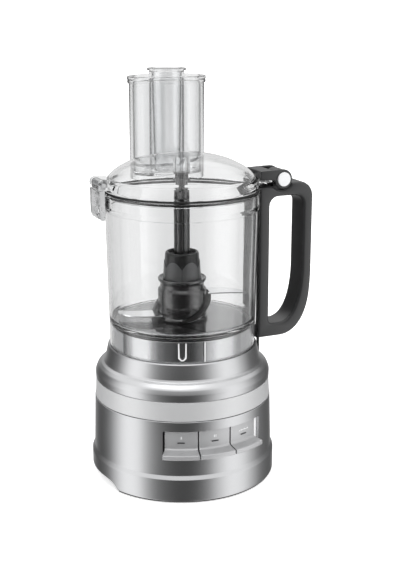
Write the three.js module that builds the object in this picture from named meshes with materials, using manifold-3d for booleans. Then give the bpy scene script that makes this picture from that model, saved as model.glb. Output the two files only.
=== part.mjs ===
// Nine-cup food processor: motor base, clear bowl, blade tool, hinged lid and two pushers.
// Millimetres, +Z up. Shapes are laid out around the drive axis, standing on the table at Z = 0,
// with the push buttons towards -Y, the bowl handle and lid hinge at +X and the lid latch at -X.
// At the end the whole group is shifted so that its box is centred on the origin in X and Y.
import * as THREE from 'three';
import { mergeVertices } from 'three/addons/utils/BufferGeometryUtils.js';
import Module from 'manifold-3d';

const wasm = await Module();
wasm.setup();

// ---------------------------------------------------------------- driving dimensions
const GAP = 0.3;                 // air left between touching pieces
const WALL = 3;                  // housing wall
const FINE = 28, MID = 16, LOW = 10;   // facets of large, medium and small round pieces

const FOOT = { r: 8, h: 4.7, ring: 78, angles: [50, 130, 230, 310] };
const BASE = { rBottom: 95.6, zBottom: 2.5, rBody: 92.9, zBody: 38, rTop: 91.6, zTop: 84.7 };
const BAND = { rIn: 88.8, rLow: 91.1, rHigh: 90.3, z0: 85.1, z1: 104.6 };
const CREASE = { r: 81, z: 122.3 };
const NECK_TOP = { r: 77.2, z: 138.4 };
const COLLAR = { r: 71.4, z: 161.2 };
const WINDOW = { half: 34.5, z0: 46.3, z1: 75 };
const BUTTON = { face: 89.5, ledge: 100.5, pitch: 22, gapAngle: 0.5 };
const ARCH = { halfY: 39, z: 9 };

const MOTOR = { y: 46, r: 34, z0: 38, z1: 98 };
const PULLEY = { rBig: 34, rSmall: 9, z0: 18, z1: 30 };
const SPINDLE = { r: 5, z0: 9.5, z1: 228 };

const SKIRT = { rOut: 75, rIn: 72.7, z: 139.7 };
const FLOOR = { z0: 162.3, z1: 165.3 };
const RIM = { rOut: 78.6, rIn: 76, z: 297.6 };
const CHIMNEY = { rOut: 12.5, rIn: 10.2, z: 205 };

const HANDLE = { x0: 82, x1: 93.6, outer: 142.7, inner: 131.2, width: 28, z0: 135.6, zGap: 150.4, zArm: 300.2 };
const HINGE = { x: 106, z: 304.6, knuckle: 9.5, ear: 10, earIn: 13, earOut: 17 };
const ROD = { x: 87.3, r: 1.6, z0: 113.5, z1: 296.6 };

const LID = { r: 78.6, z0: 300.6, wall: 2.4, apex: 335.6, spigotR: 74.4, spigotZ: 293.5 };
const TUBE = { a: 39.5, b: 31, y: 39.5, notch: 14, wall: 2.3, z0: 308, z1: 404.8 };
const BORE = { rOut: 18, rIn: 16.3, z0: 311, z1: 413.4 };
const LATCH = { x: -86.5, z: 310.5, xOut: -91.5, xIn: -85.5, halfY: 15.2, z0: 276 };

// ---------------------------------------------------------------- finishes
const finish = (color, roughness, metalness, opacity = 1) => new THREE.MeshStandardMaterial(
  { color, roughness, metalness, opacity, transparent: opacity < 1 });
const SILVER = finish(0x9b9c9e, 0.36, 0.75);
const BAND_GREY = finish(0xc2c3c4, 0.45, 0.3);
const BUTTON_GREY = finish(0xa9aaab, 0.42, 0.35);
const CLEAR = finish(0xeef1f2, 0.06, 0, 0.3);
const DARK = finish(0x4a4b4d, 0.5, 0);
const BLACK = finish(0x17181a, 0.4, 0);
const RUBBER = finish(0x101011, 0.75, 0);
const STEEL = finish(0xc9cbcd, 0.22, 1);
const COPPER = finish(0xb06a3c, 0.4, 0.9);
const BOARD = finish(0x1f5a36, 0.6, 0);
const BELT = finish(0x1b1b1b, 0.8, 0);

// ---------------------------------------------------------------- solid modelling helpers
const rad = (deg) => deg * Math.PI / 180;

/** Closed solid from a three.js geometry: shared vertices merged, slivers dropped, faces outward. */
function solid(geometry) {
  const source = geometry.clone();
  source.deleteAttribute('normal');
  source.deleteAttribute('uv');
  const merged = mergeVertices(source, 1e-4);
  const xyz = merged.attributes.position.array;
  const index = merged.index.array;
  const triangles = [];
  let volume = 0;
  const corner = (i) => new THREE.Vector3(xyz[3 * i], xyz[3 * i + 1], xyz[3 * i + 2]);
  for (let i = 0; i < index.length; i += 3) {
    const [a, b, c] = [index[i], index[i + 1], index[i + 2]];
    if (a === b || b === c || c === a) continue;
    triangles.push(a, b, c);
    volume += corner(a).dot(corner(b).cross(corner(c)));
  }
  if (volume < 0) triangles.reverse();
  return new wasm.Manifold(new wasm.Mesh({
    numProp: 3,
    vertProperties: Float32Array.from(xyz),
    triVerts: Uint32Array.from(triangles),
  }));
}

function geometryOf(body) {
  const mesh = body.getMesh();
  const geometry = new THREE.BufferGeometry();
  geometry.setAttribute('position', new THREE.BufferAttribute(Float32Array.from(mesh.vertProperties), 3));
  geometry.setIndex(new THREE.BufferAttribute(Uint32Array.from(mesh.triVerts), 1));
  return geometry;
}

const place = (geometry, x = 0, y = 0, z = 0) => geometry.translate(x, y, z);

/** Solid of revolution about the vertical axis through (x, y); profile is [[r, z], ...]. */
function turned(profile, facets = FINE, x = 0, y = 0) {
  const closed = profile[0][0] > 0 || profile[profile.length - 1][0] > 0;
  const points = profile.map(([r, z]) => new THREE.Vector2(r, z));
  if (closed) points.push(points[0].clone());
  const geometry = new THREE.LatheGeometry(points, facets).rotateX(Math.PI / 2);
  return solid(place(geometry, x, y));
}

const disc = (r, z0, z1, facets = MID, x = 0, y = 0) => turned([[0, z0], [r, z0], [r, z1], [0, z1]], facets, x, y);
const ring = (rIn, rOut, z0, z1, facets = FINE, x = 0, y = 0) =>
  turned([[rIn, z0], [rOut, z0], [rOut, z1], [rIn, z1]], facets, x, y);

function block(x0, x1, y0, y1, z0, z1) {
  const geometry = new THREE.BoxGeometry(x1 - x0, y1 - y0, z1 - z0);
  return solid(place(geometry, (x0 + x1) / 2, (y0 + y1) / 2, (z0 + z1) / 2));
}

/** Prism of a plan outline (X, Y) from z0 to z1. */
function upright(shape, z0, z1, curveSegments = 8) {
  const geometry = new THREE.ExtrudeGeometry(shape, { depth: z1 - z0, bevelEnabled: false, curveSegments });
  return solid(place(geometry, 0, 0, z0));
}

/** Prism of a side outline drawn in (X, Z), from y0 to y1. */
function sideways(shape, y0, y1, curveSegments = 8) {
  const geometry = new THREE.ExtrudeGeometry(shape, { depth: y1 - y0, bevelEnabled: false, curveSegments });
  return solid(place(geometry.rotateX(Math.PI / 2), 0, y1));
}

/** Rod along Y through (x, z). */
const crossRod = (r, x, z, y0, y1, facets = LOW) =>
  solid(place(new THREE.CylinderGeometry(r, r, y1 - y0, facets), x, (y0 + y1) / 2, z));

const outline = (points) => new THREE.Shape(points.map(([a, b]) => new THREE.Vector2(a, b)));

/** Plan outline of a curved wall: radii r0..r1, angles measured from the front (-Y), in degrees. */
function sector(r0, r1, a0, a1, steps = 8) {
  const at = (r, a) => [r * Math.sin(rad(a)), -r * Math.cos(rad(a))];
  const points = [];
  for (let i = 0; i <= steps; i++) points.push(at(r1, a0 + (a1 - a0) * i / steps));
  for (let i = steps; i >= 0; i--) points.push(at(r0, a0 + (a1 - a0) * i / steps));
  return outline(points);
}

/** Bean-shaped plan of the feed tube, drawn in by `inset`, notched around the drive axis. */
function bean(inset, steps = 28) {
  const a = TUBE.a - inset, b = TUBE.b - inset, notch = TUBE.notch + inset;
  const oval = [];
  for (let i = 0; i < steps; i++) {
    const t = rad(-90 + 360 * (i + 0.5) / steps);
    oval.push([a * Math.cos(t), TUBE.y + b * Math.sin(t)]);
  }
  const kept = oval.filter(([x, y]) => Math.hypot(x, y) > notch + 0.6);
  const angleOf = ([x, y]) => Math.atan2(y, x);
  const from = angleOf(kept[kept.length - 1]) - 0.12;
  const to = angleOf(kept[0]) + 0.12;
  for (let i = 0; i <= 6; i++) {
    const t = from + (to - from) * i / 6;
    kept.push([notch * Math.cos(t), notch * Math.sin(t)]);
  }
  return outline(kept);
}

/** Compression spring along Z on its own axis, open coils. */
function coilSpring(r, wire, height, turns, steps = 6) {
  class Coil extends THREE.Curve {
    getPoint(t, target = new THREE.Vector3()) {
      const angle = 2 * Math.PI * turns * t;
      return target.set(r * Math.cos(angle), r * Math.sin(angle), height * t);
    }
  }
  const section = new THREE.Shape();
  section.absarc(0, 0, wire, 0, 2 * Math.PI);
  return new THREE.ExtrudeGeometry(section, {
    steps: turns * steps, curveSegments: 2, bevelEnabled: false, extrudePath: new Coil(),
  });
}

const model = new THREE.Group();
function add(name, body, material) {
  const mesh = new THREE.Mesh(geometryOf(body), material);
  mesh.name = name;
  model.add(mesh);
  return mesh;
}

// ---------------------------------------------------------------- motor base shells
const polar = (r, deg) => [r * Math.cos(rad(deg)), r * Math.sin(rad(deg))];
const SCREWS = [28, 152, 208, 332].map((deg) => polar(FOOT.ring, deg));
const RIB_HALF = 2;

function screwPost([x, y]) {
  const rib = place(new THREE.BoxGeometry(12, 2 * RIB_HALF, 30), FOOT.ring + 6, 0, 24);
  rib.rotateZ(Math.atan2(y, x));
  return disc(5, 9, 39, LOW, x, y).add(solid(rib)).subtract(disc(1.9, 8, 24, LOW, x, y));
}

function baseHousing() {
  const { rBottom, zBottom, rBody, zBody, rTop, zTop } = BASE;
  const spigotIn = BAND.rIn - GAP - WALL;
  let shell = turned([
    [rBottom, zBottom], [rBottom - 0.3, 22], [rBottom - 1.2, 27], [rBody + 0.5, 32], [rBody, zBody],
    [rTop, zTop], [BAND.rIn - GAP, zTop], [BAND.rIn - GAP, 94.4], [spigotIn, 94.4], [spigotIn, 84],
    [rBody - WALL, zBody], [rBottom - WALL, 24], [rBottom - WALL, zBottom],
  ]);
  for (const at of SCREWS) shell = shell.add(screwPost(at));
  shell = shell.subtract(upright(sector(80, 110, -WINDOW.half, WINDOW.half), WINDOW.z0, WINDOW.z1));
  const arch = outline([[-ARCH.halfY - 3, 0], [-ARCH.halfY + 4, ARCH.z], [ARCH.halfY - 4, ARCH.z], [ARCH.halfY + 3, 0]]);
  const bothSides = new THREE.ExtrudeGeometry(arch, { depth: 220, bevelEnabled: false });
  bothSides.rotateX(Math.PI / 2).rotateZ(Math.PI / 2).translate(-110, 0, 0);
  shell = shell.subtract(solid(bothSides).subtract(block(-88.6, 88.6, -60, 60, -5, 20)));
  const inletHole = place(new THREE.CylinderGeometry(6.3, 6.3, 20, LOW), 0, 94, 26);
  return shell.subtract(solid(inletHole));
}

function topCover() {
  const spigot = BAND.rIn - GAP;
  const shell = turned([
    [spigot, 95], [spigot, 104.9], [90.4, 104.9], [90.4, 111.5], [89.2, 115], [87, 118.3], [84.2, 120.8],
    [CREASE.r, CREASE.z], [80, 124], [78.8, 130], [NECK_TOP.r, NECK_TOP.z], [76.4, 139.2],
    [COLLAR.r, 139.2], [COLLAR.r - 0.4, 160.2], [COLLAR.r - 1.4, COLLAR.z],
    [11.6, COLLAR.z], [11.6, 157.9], [14, 157.9], [14, 145], [17, 145], [17, 158.2],
    [COLLAR.r - 3.2, 158.2], [COLLAR.r - 3.2, 136.4], [74.4, 136.2], [78, 119], [86, 112], [86, 107],
    [spigot - WALL, 104], [spigot - WALL, 95],
  ]);
  return shell.subtract(block(77.2, 90, -4.6, 4.6, 112.6, 145));
}

function bottomPlate() {
  let plate = turned([
    [0, 5], [88, 5], [88, 7.5], [14.2, 7.5], [14.2, 17], [11.6, 17], [11.6, 9.2], [0, 9.2],
  ], MID);
  for (const [x, y] of SCREWS) plate = plate.subtract(disc(2, 4, 9, LOW, x, y));
  return plate;
}

add('base_housing', baseHousing(), SILVER);
add('trim_band', turned([[BAND.rIn, BAND.z0], [BAND.rLow, BAND.z0], [BAND.rHigh, BAND.z1], [BAND.rIn, BAND.z1]]),
  BAND_GREY);
add('top_cover', topCover(), SILVER);
add('bottom_plate', bottomPlate(), BLACK);
FOOT.angles.forEach((deg, i) => {
  const [x, y] = polar(FOOT.ring, deg);
  const foot = turned([[0, 0], [FOOT.r - 0.8, 0], [FOOT.r, 1.2], [FOOT.r, FOOT.h], [0, FOOT.h]], LOW, x, y);
  add(`foot_${i + 1}`, foot, RUBBER);
});
SCREWS.forEach(([x, y], i) => {
  const screw = turned([[0, 3.2], [3.4, 3.2], [3.4, 4.7], [1.5, 4.7], [1.5, 20], [0, 20]], LOW, x, y);
  add(`base_screw_${i + 1}`, screw, STEEL);
});
const inlet = new THREE.CylinderGeometry(6, 6, 7, LOW).translate(0, 93.5, 26);
const inletFlange = new THREE.CylinderGeometry(9, 9, 2.4, LOW).translate(0, 98.2, 26);
const inletBore = new THREE.CylinderGeometry(3.4, 3.4, 30, LOW).translate(0, 95, 26);
add('cord_inlet', solid(inlet).add(solid(inletFlange)).subtract(solid(inletBore)), BLACK);

// ---------------------------------------------------------------- motor, belt and drive spindle
add('motor_can', turned([
  [8, MOTOR.z0], [MOTOR.r, MOTOR.z0], [MOTOR.r, MOTOR.z1], [6, MOTOR.z1], [6, MOTOR.z1 - 2],
  [MOTOR.r - 2, MOTOR.z1 - 2], [MOTOR.r - 2, MOTOR.z0 + 2], [8, MOTOR.z0 + 2],
], MID, 0, MOTOR.y), STEEL);
add('motor_rotor', turned([
  [0, 14], [3, 14], [3, 46], [24, 46], [24, 90], [3, 90], [3, 100], [0, 100],
], MID, 0, MOTOR.y), COPPER);
add('motor_pulley', ring(3.3, PULLEY.rSmall, PULLEY.z0, PULLEY.z1, MID, 0, MOTOR.y), STEEL);
add('drive_spindle', turned([
  [0, SPINDLE.z0], [SPINDLE.r, SPINDLE.z0], [SPINDLE.r, SPINDLE.z1 - 2], [SPINDLE.r - 1, SPINDLE.z1], [0, SPINDLE.z1],
], LOW), STEEL);
add('spindle_pulley', turned([
  [5.3, PULLEY.z0], [PULLEY.rBig, PULLEY.z0], [PULLEY.rBig, PULLEY.z1], [PULLEY.rBig - 4, PULLEY.z1],
  [PULLEY.rBig - 4, 26], [10, 26], [10, PULLEY.z1 + 6], [5.3, PULLEY.z1 + 6],
], MID), DARK);
add('spindle_coupling', ring(6.2, 7.8, 172, SPINDLE.z1 - 4, 6), STEEL);
add('lower_bearing', ring(5.35, 11.1, 9.5, 16.5, MID), STEEL);
add('upper_bearing', ring(5.35, 13.7, 146, 157.6, MID), STEEL);
add('shaft_seal', ring(5.35, 11.3, 158.4, 162, MID), RUBBER);

/** Belt outline round both pulleys: two arcs joined by the outer tangents. */
function beltLoop(extra) {
  const big = PULLEY.rBig + extra, small = PULLEY.rSmall + extra;
  const lean = Math.asin((big - small) / MOTOR.y);
  const points = [];
  for (let i = 0; i <= 24; i++) {
    const t = Math.PI - lean + (Math.PI + 2 * lean) * i / 24;
    points.push([big * Math.cos(t), big * Math.sin(t)]);
  }
  for (let i = 0; i <= 10; i++) {
    const t = lean + (Math.PI - 2 * lean) * i / 10;
    points.push([small * Math.cos(t), MOTOR.y + small * Math.sin(t)]);
  }
  return outline(points);
}
add('drive_belt', upright(beltLoop(2.1), 19.5, 28.5).subtract(upright(beltLoop(0.5), 15, 35)), BELT);

// ---------------------------------------------------------------- controls
const BUTTON_DEPTH = 12;
const buttonAngle = (i) => (i - 1) * BUTTON.pitch;

/** One piano-key button: recessed curved face that sweeps out into a thumb ledge. */
function button(i) {
  const half = BUTTON.pitch / 2 - BUTTON.gapAngle;
  const back = BUTTON.face - BUTTON_DEPTH;
  const middle = buttonAngle(i);
  const face = upright(sector(back, BUTTON.face, middle - half, middle + half, 5), 48.6, 74.6);
  const slab = upright(sector(BUTTON.face - 1, BUTTON.ledge, middle - half, middle + half, 5), 48.2, 58);
  const chamfer = turned([
    [BUTTON.ledge + 5, 53.4], [BUTTON.ledge, 53.4], [94.5, 54.8], [91.2, 56.6], [BUTTON.face, 58.5], [BUTTON.ledge + 5, 60],
  ], FINE);
  return face.add(slab.subtract(chamfer));
}

/** Small dark dash set into a button face, half a millimetre proud. */
const buttonMark = (i) => upright(
  sector(BUTTON.face + GAP, BUTTON.face + 0.9, buttonAngle(i) - 2.3, buttonAngle(i) + 2.3, 3), 62, 63.2);

function buttonSpring(i) {
  const geometry = coilSpring(3, 0.45, 8.4, 4).rotateX(Math.PI / 2);
  geometry.translate(0, -(BUTTON.face - BUTTON_DEPTH - GAP) + 8.9, 66).rotateZ(rad(buttonAngle(i)));
  return solid(geometry);
}

for (let i = 0; i < 3; i++) add(`button_${i + 1}`, button(i), BUTTON_GREY);
for (let i = 0; i < 3; i++) add(`button_mark_${i + 1}`, buttonMark(i), BLACK);
for (let i = 0; i < 3; i++) add(`button_spring_${i + 1}`, buttonSpring(i), STEEL);
add('control_board', upright(sector(63.6, 66, -36, 36, 9), 44, 78), BOARD);
add('interlock_switch', block(80.8, 84.6, -6, 6, 96, 111.8), BLACK);

// ---------------------------------------------------------------- bowl with handle
function bowl() {
  const shell = turned([
    [SKIRT.rOut, SKIRT.z], [SKIRT.rOut + 0.3, 165.5], [77.8, 280.6], [RIM.rOut, 283], [RIM.rOut, RIM.z],
    [RIM.rIn, RIM.z], [RIM.rIn, 283], [75.4, 280.6], [73, 168.6], [69.5, FLOOR.z1],
    [CHIMNEY.rOut, FLOOR.z1], [CHIMNEY.rOut, CHIMNEY.z], [CHIMNEY.rIn, CHIMNEY.z], [CHIMNEY.rIn, FLOOR.z0],
    [SKIRT.rIn, FLOOR.z0], [SKIRT.rIn, SKIRT.z],
  ]);
  const handlePad = block(75.4, HANDLE.x0 - GAP, -10.5, 10.5, 150, 294);
  const catchPad = block(-79.6, -76.2, -10, 10, 284, 296);
  return shell.add(handlePad).add(catchPad).subtract(disc(72.7, 139, 162.3, FINE));
}

/** Loop handle seen from the front, with the cradle for the lid hinge in its top edge. */
function handleOutline() {
  const { x0, x1, outer, inner, z0, zGap, zArm } = HANDLE;
  const cradle = HINGE.ear + 2;
  const dip = Math.asin((HINGE.z - zArm) / cradle);
  const left = Math.acos(7.6 / cradle);
  const shape = new THREE.Shape();
  shape.moveTo(x0, z0);
  shape.lineTo(107, z0 + 0.2);
  shape.bezierCurveTo(128, z0 + 0.4, outer - 3.4, 158, outer - 1.2, 182);
  shape.lineTo(outer, 206);
  shape.lineTo(outer, zArm - 16);
  shape.absarc(outer - 16, zArm - 16, 16, 0, Math.PI / 2);
  shape.lineTo(HINGE.x + cradle * Math.cos(dip), zArm);
  shape.absarc(HINGE.x, HINGE.z, cradle, -dip, -Math.PI / 2 - left, true);
  shape.lineTo(x0, HINGE.z - 7.6);
  shape.closePath();
  const gap = new THREE.Path();
  gap.moveTo(x1 + 0.4, zGap);
  gap.lineTo(x1, zArm - 24);
  gap.absarc(x1 + 10, zArm - 24, 10, Math.PI, Math.PI / 2, true);
  gap.lineTo(inner - 10, zArm - 14);
  gap.absarc(inner - 10, zArm - 24, 10, Math.PI / 2, 0, true);
  gap.lineTo(inner, 206);
  gap.bezierCurveTo(inner - 1, 172, inner - 10, zGap + 1.2, 106, zGap);
  gap.closePath();
  shape.holes.push(gap);
  return shape;
}

function handle() {
  const half = HANDLE.width / 2;
  const knuckleHalf = 7.5;
  let body = sideways(handleOutline(), -half, half, 7);
  const web = block(HINGE.x - 7, HINGE.x + 7, -knuckleHalf, knuckleHalf, 288, HINGE.z);
  body = body.add(crossRod(HINGE.knuckle, HINGE.x, HINGE.z, -knuckleHalf, knuckleHalf, MID)).add(web);
  body = body.subtract(crossRod(3.9, HINGE.x, HINGE.z, -20, 20));
  return body.subtract(disc(ROD.r + 1, 130, 310, LOW, ROD.x, 0)).subtract(disc(4.4, 130, 166, LOW, ROD.x, 0));
}

function bowlCatch() {
  const plate = block(-81.4, -79.6 - GAP, -9, 9, 286, 296.6);
  return plate.add(block(-84.2, -81, -9, 9, 289, 293));
}

const rodSpring = coilSpring(3, 0.45, 22, 6).translate(ROD.x, 0, 141);

add('bowl', bowl(), CLEAR);
add('handle', handle(), DARK);
add('bowl_catch', bowlCatch(), BLACK);
add('interlock_rod', turned([
  [0, ROD.z0], [ROD.r, ROD.z0], [ROD.r, 138.4], [3.7, 138.4], [3.7, 140.4], [ROD.r, 140.4], [ROD.r, ROD.z1], [0, ROD.z1],
], 12, ROD.x, 0), BLACK);
add('rod_spring', solid(rodSpring), STEEL);

// ---------------------------------------------------------------- blade tool and drive stem
add('blade_hub', turned([
  [26.4, 166.4], [26.4, 168], [24.8, 169.4], [25, 195.5], [22.6, 198.6], [22.4, 202.6], [24.6, 205.6],
  [25, 207.8], [24.2, 208.6], [22.8, 207.6], [19, 206.8], [15, 206.8], [15, 206.2], [13.4, 206.2], [13.4, 166.4],
], MID), BLACK);

function hubCap() {
  const cone = turned([
    [14.6, 207.1], [19, 207.1], [18.5, 218], [17.2, 233], [16.4, 235.2], [14.6, 235.2], [14, 232], [8.6, 230],
    [8.6, 226.5], [12.6, 226.5], [12.6, 212], [14.6, 212],
  ], MID);
  const socket = ring(8.4, 13, 213, 226.6, MID);
  return cone.add(socket);
}
add('hub_cap', hubCap(), DARK);

/** Sickle blade: from the hub wall out to its tip, one edge nearly straight, the other bowed. */
function sickle(turn, z) {
  const shape = new THREE.Shape();
  shape.moveTo(26.8, -2.5);
  shape.bezierCurveTo(40, 1, 54, 2, 66.4, -0.5);
  shape.lineTo(66.2, 3);
  shape.bezierCurveTo(62, 17, 44, 27, 19.6, 18.4);
  shape.bezierCurveTo(24.6, 12, 27, 5, 26.8, -2.5);
  const geometry = new THREE.ExtrudeGeometry(shape, { depth: 1.2, bevelEnabled: false, curveSegments: 8 });
  return solid(geometry.rotateZ(rad(turn)).translate(0, 0, z));
}
add('blade_lower', sickle(158, 171), STEEL);
add('blade_upper', sickle(-22, 190), STEEL);

function stem() {
  const flutes = [0, 60, 120].map((deg) => {
    const groove = new THREE.CylinderGeometry(1.3, 1.3, 60, 8).rotateX(Math.PI / 2).translate(8.4, 0, 262);
    return [groove.clone().rotateZ(rad(deg + 30)), groove.rotateZ(rad(deg + 210))];
  }).flat();
  let shaft = turned([[0, 229], [8.1, 229], [8.1, 282.4], [7.4, 284.2], [0, 284.2]], MID);
  for (const groove of flutes) shaft = shaft.subtract(solid(groove));
  return shaft;
}
add('stem', stem(), DARK);
add('stem_spool', turned([
  [0, 284.5], [7, 284.5], [8.2, 286], [8.2, 288.4], [6.2, 289.4], [6.2, 297.8], [8.2, 298.6], [8.2, 300.3],
  [3, 300.6], [3, 309.6], [0, 309.6],
], MID), BLACK);

// ---------------------------------------------------------------- lid with feed tube
const DOME = [[78.4, 303.4], [77.2, 307], [74.8, 311.4], [70.8, 316], [65.4, 320.2], [58.5, 324.1], [50.5, 327.8],
  [41, 330.9], [30, 333.3], [17.5, 335]];

function lidDome() {
  const t = LID.wall;
  const inner = DOME.filter((_, i) => i % 2).slice(1).reverse().map(([r, z]) => [r - t * (r / 110), z - t]);
  return turned([
    [LID.r, LID.z0], ...DOME, [0, LID.apex], [0, LID.apex - t], ...inner, [LID.spigotR - 2, 308],
    [LID.spigotR - 2, LID.spigotZ], [LID.spigotR, LID.spigotZ], [LID.spigotR, LID.z0],
  ]);
}

/** Ear that carries the latch pivot, in side view. */
function latchEar() {
  const r = 5.5;
  const shape = new THREE.Shape();
  shape.moveTo(-74.6, LATCH.z - r);
  shape.lineTo(-74.6, LATCH.z + r - 1.5);
  shape.lineTo(LATCH.x, LATCH.z + r);
  shape.absarc(LATCH.x, LATCH.z, r, Math.PI / 2, 3 * Math.PI / 2);
  shape.closePath();
  return shape;
}

function lid() {
  let body = lidDome();
  body = body.add(upright(bean(0), TUBE.z0, TUBE.z1));
  body = body.add(disc(8.6, 317, LID.apex - 0.5, MID));
  for (const side of [-1, 1]) {
    body = body.add(sideways(latchEar(), Math.min(side * 10.6, side * 14.6), Math.max(side * 10.6, side * 14.6), 6));
  }
  body = body.add(block(72.6, 95.2, -12.6, 12.6, 301, 305.2));
  body = body.subtract(upright(bean(TUBE.wall), 290, 420)).subtract(disc(5.2, 310, 331, MID));
  return body.subtract(crossRod(2.1, LATCH.x, LATCH.z, -20, 20));
}
add('lid', lid(), CLEAR);
add('lid_seal', ring(LID.spigotR + GAP, RIM.rOut - 0.2, RIM.z + GAP, LID.z0 - GAP), RUBBER);
add('lid_bearing', ring(3.9, 6.2, 304.6, 312.4, MID).add(ring(3.9, 8.3, 312.4, 316.7, MID)), BLACK);

/** Yoke arm bolted on the lid: bridge over the lid tongue and two ears round the hinge pin. */
function lidArm() {
  const { x, z, ear, earIn, earOut } = HINGE;
  const side = new THREE.Shape();
  side.moveTo(79.6, z + 0.9);
  side.lineTo(80.4, z + 9.4);
  side.lineTo(x, z + ear);
  side.absarc(x, z, ear, Math.PI / 2, -Math.PI + 0.1, true);
  side.closePath();
  let arm = block(80.2, x - 10.9, -earOut, earOut, z + 0.9, z + 9.4);
  for (const [y0, y1] of [[-earOut, -earIn], [earIn, earOut]]) arm = arm.add(sideways(side, y0, y1, 10));
  return arm.subtract(crossRod(3.9, x, z, -20, 20));
}
add('lid_arm', lidArm(), DARK);
add('hinge_pin', crossRod(3.5, HINGE.x, HINGE.z, -HINGE.earOut, HINGE.earOut), STEEL);
const capDisc = (y0, y1) => crossRod(7.3, HINGE.x, HINGE.z, y0, y1, MID);
add('pin_cap_front', capDisc(-HINGE.earOut - 1.8, -HINGE.earOut - GAP), SILVER);
add('pin_cap_rear', capDisc(HINGE.earOut + GAP, HINGE.earOut + 1.8), SILVER);

// ---------------------------------------------------------------- lid latch
function latchLever() {
  const { x, z, xOut, xIn, halfY, z0 } = LATCH;
  const plate = outline([[xOut, 303.8], [xOut, z0 + 4], [xOut + 1.6, z0], [xIn - 0.8, z0], [xIn, z0 + 1.5],
    [xIn, 303.8]]);
  let lever = sideways(plate, -halfY, halfY);
  lever = lever.add(block(xOut + 0.6, xIn, -10.2, 10.2, 303, z)).add(crossRod(4.8, x, z, -10.2, 10.2, MID));
  lever = lever.add(block(xIn - 0.5, -84.7, -8, 8, 283, 288));
  return lever.subtract(crossRod(2.1, x, z, -20, 20));
}
add('latch_lever', latchLever(), CLEAR);
add('latch_pin', crossRod(1.8, LATCH.x, LATCH.z, -14.4, 14.4), STEEL);

// ---------------------------------------------------------------- pushers
function largePusher() {
  const slide = TUBE.wall + 0.8;
  const wall = 2;
  const flangeZ = TUBE.z1 + GAP;
  let body = upright(bean(slide), BORE.z0, flangeZ + 1).subtract(upright(bean(slide + wall), BORE.z0 + 2.5, 430));
  body = body.add(upright(bean(-1.7), flangeZ, flangeZ + 3.4).subtract(upright(bean(slide + wall), 400, 430)));
  body = body.add(disc(BORE.rOut, BORE.z0, BORE.z1, MID, 0, TUBE.y));
  return body.subtract(disc(BORE.rIn, 300, 430, MID, 0, TUBE.y));
}
add('large_pusher', largePusher(), CLEAR);
add('small_pusher', turned([
  [0, 313], [13, 313], [15.4, 411], [15.6, 413.7], [19.8, 414.2], [19.8, 416.2], [14.4, 416.8], [13.8, 411],
  [11.3, 315], [0, 315],
], MID, 0, TUBE.y), CLEAR);

// ---------------------------------------------------------------- centre the box on the origin
const box = new THREE.Box3().setFromObject(model);
model.position.set(-(box.min.x + box.max.x) / 2, -(box.min.y + box.max.y) / 2, -box.min.z);
model.updateMatrixWorld(true);

export default model;
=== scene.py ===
"""Looks for the food processor: fine pieces, materials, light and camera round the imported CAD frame.

Shapes are written in millimetres round the drive axis, as the machine is built: -Y is the button
side, +X the handle side, +Z up. build() moves them to the row frame, in metres.
"""

import math

import bmesh
import bpy
from mathutils import Matrix, Vector


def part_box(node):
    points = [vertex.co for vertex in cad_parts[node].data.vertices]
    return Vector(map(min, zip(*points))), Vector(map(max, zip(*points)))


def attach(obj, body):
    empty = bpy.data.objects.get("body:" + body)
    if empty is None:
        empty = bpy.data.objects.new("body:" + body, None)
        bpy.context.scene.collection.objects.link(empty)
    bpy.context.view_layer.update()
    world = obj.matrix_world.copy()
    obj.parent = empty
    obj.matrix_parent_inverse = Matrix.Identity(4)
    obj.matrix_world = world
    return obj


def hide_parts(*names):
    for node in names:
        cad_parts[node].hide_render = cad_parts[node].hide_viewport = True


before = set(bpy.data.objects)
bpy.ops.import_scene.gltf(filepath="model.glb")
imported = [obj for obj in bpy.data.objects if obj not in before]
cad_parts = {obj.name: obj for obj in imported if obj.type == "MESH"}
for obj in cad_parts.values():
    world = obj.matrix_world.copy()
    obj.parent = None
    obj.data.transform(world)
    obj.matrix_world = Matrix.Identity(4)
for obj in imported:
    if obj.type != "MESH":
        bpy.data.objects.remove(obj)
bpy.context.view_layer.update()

MM = 0.001
SPINDLE_LOW, SPINDLE_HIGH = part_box("drive_spindle")
AXIS = ((SPINDLE_LOW + SPINDLE_HIGH) / 2).to_2d()
TO_FRAME = Matrix.Translation((AXIS.x, AXIS.y, 0)) @ Matrix.Scale(MM, 4)
FINE, ROUND = 144, 192  # segments in a full turn


def span(node):
    """A CAD node's box in millimetres round the drive axis: (low corner, high corner)."""
    lo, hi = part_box(node)
    shift = Vector((AXIS.x, AXIS.y, 0))
    return (lo - shift) / MM, (hi - shift) / MM


# ------------------------------------------------------------------ camera
CAMERA_TURN, CAMERA_PITCH = math.radians(22.96), math.radians(15.04)
CAMERA_AT = Vector((-412.1, -1019.9, 494.7))


def make_camera():
    data = bpy.data.cameras.new("camera")
    data.lens, data.sensor_width = 70.0, 36.0
    data.clip_start, data.clip_end = 0.05, 300.0
    camera = bpy.data.objects.new("camera", data)
    bpy.context.scene.collection.objects.link(camera)
    camera.location = TO_FRAME @ CAMERA_AT
    level = math.cos(CAMERA_PITCH)
    look = Vector((math.sin(CAMERA_TURN) * level, math.cos(CAMERA_TURN) * level, -math.sin(CAMERA_PITCH)))
    camera.rotation_euler = look.to_track_quat("-Z", "Y").to_euler()
    bpy.context.scene.camera = camera


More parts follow.
